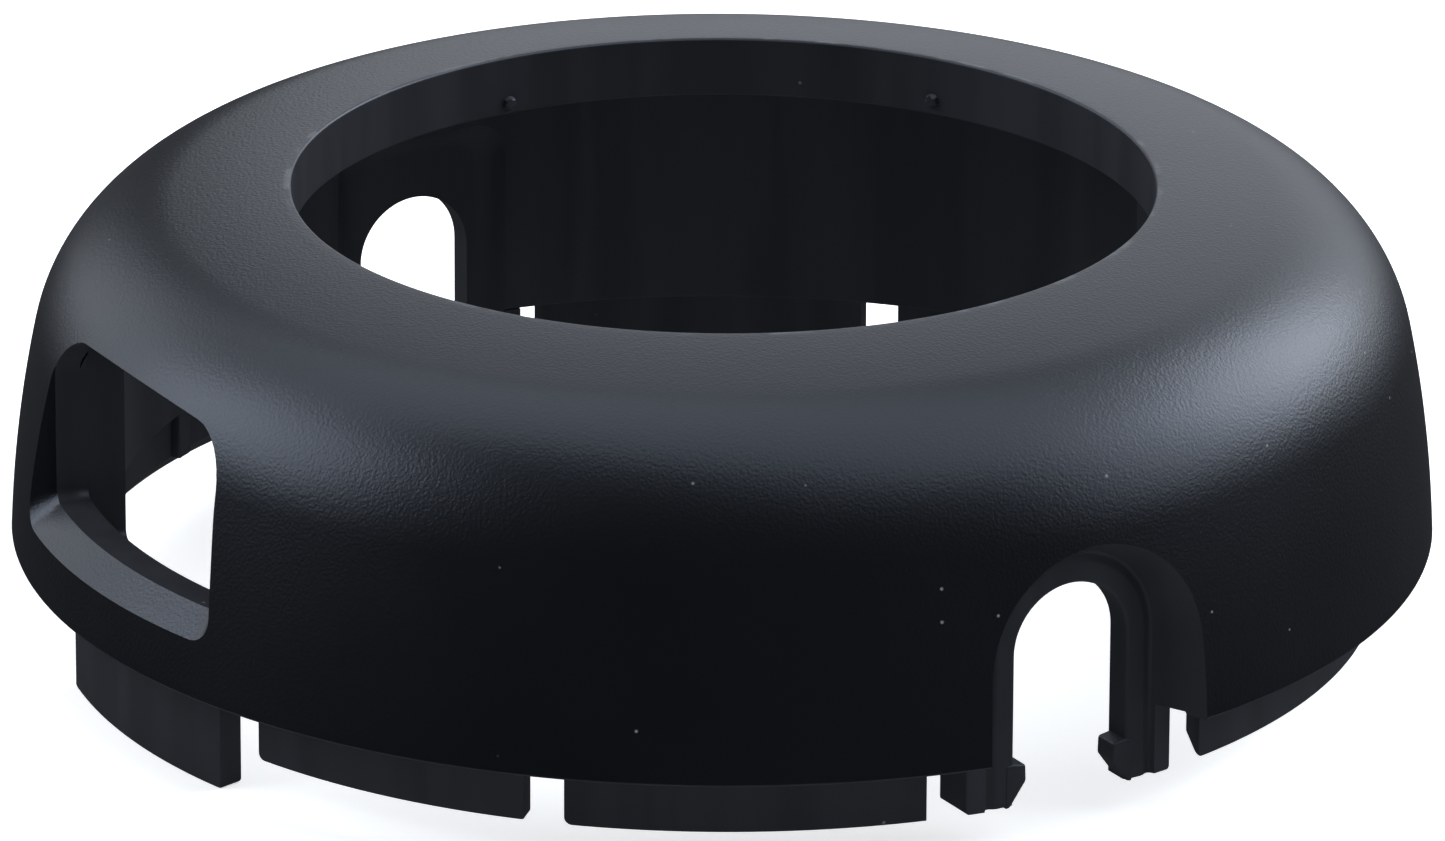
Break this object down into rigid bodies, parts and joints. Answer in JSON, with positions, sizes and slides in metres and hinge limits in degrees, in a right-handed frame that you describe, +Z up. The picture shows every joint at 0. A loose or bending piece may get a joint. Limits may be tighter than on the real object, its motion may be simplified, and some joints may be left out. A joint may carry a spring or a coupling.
{
  "type": "waste disposer top cover",
  "caption": "Round domed cover ring with a wide top opening, side windows, arched cable notches and a skirt of snap tabs, for the top of a kitchen waste disposer.",
  "frame": {"origin": "centre of the bounding box's bottom: on the ring's axis, level with the bottoms of the two feet", "axes": "+Z up along the ring's axis, towards the sink; -Y is the front, where the two skirt tabs between a window and an arch face"},
  "size_m": [0.18, 0.18, 0.0589],
  "materials": {
    "grained_plastic": "fine leathery grain",
    "satin_plastic": "smooth satin, as moulded"
  },
  "bodies": {
    "cover": {"cover_shell": "grained_plastic", "liner_ring": "satin_plastic"},
    "front_left_finger": {"clip_finger_front_left": "satin_plastic"},
    "front_right_finger": {"clip_finger_front_right": "satin_plastic"},
    "back_left_finger": {"clip_finger_back_left": "satin_plastic"},
    "back_right_finger": {"clip_finger_back_right": "satin_plastic"}
  },
  "joints": [
    {"name": "front_left_flex", "type": "hinge", "parent": "cover", "child": "front_left_finger", "pos_m": [0.0316, -0.07383, 0.0146], "axis": [-0.5195, 0.8545, 0], "range_deg": [0, 8], "stiffness_Nm_per_rad": 0.2},
    {"name": "front_right_flex", "type": "hinge", "parent": "cover", "child": "front_right_finger", "pos_m": [0.051, -0.06203, 0.0146], "axis": [0.5195, -0.8545, 0], "range_deg": [0, 8], "stiffness_Nm_per_rad": 0.2},
    {"name": "back_left_flex", "type": "hinge", "parent": "cover", "child": "back_left_finger", "pos_m": [-0.0316, 0.07383, 0.0146], "axis": [0.5195, -0.8545, 0], "range_deg": [0, 8], "stiffness_Nm_per_rad": 0.2},
    {"name": "back_right_flex", "type": "hinge", "parent": "cover", "child": "back_right_finger", "pos_m": [-0.051, 0.06203, 0.0146], "axis": [-0.5195, 0.8545, 0], "range_deg": [0, 8], "stiffness_Nm_per_rad": 0.2}
  ]
}
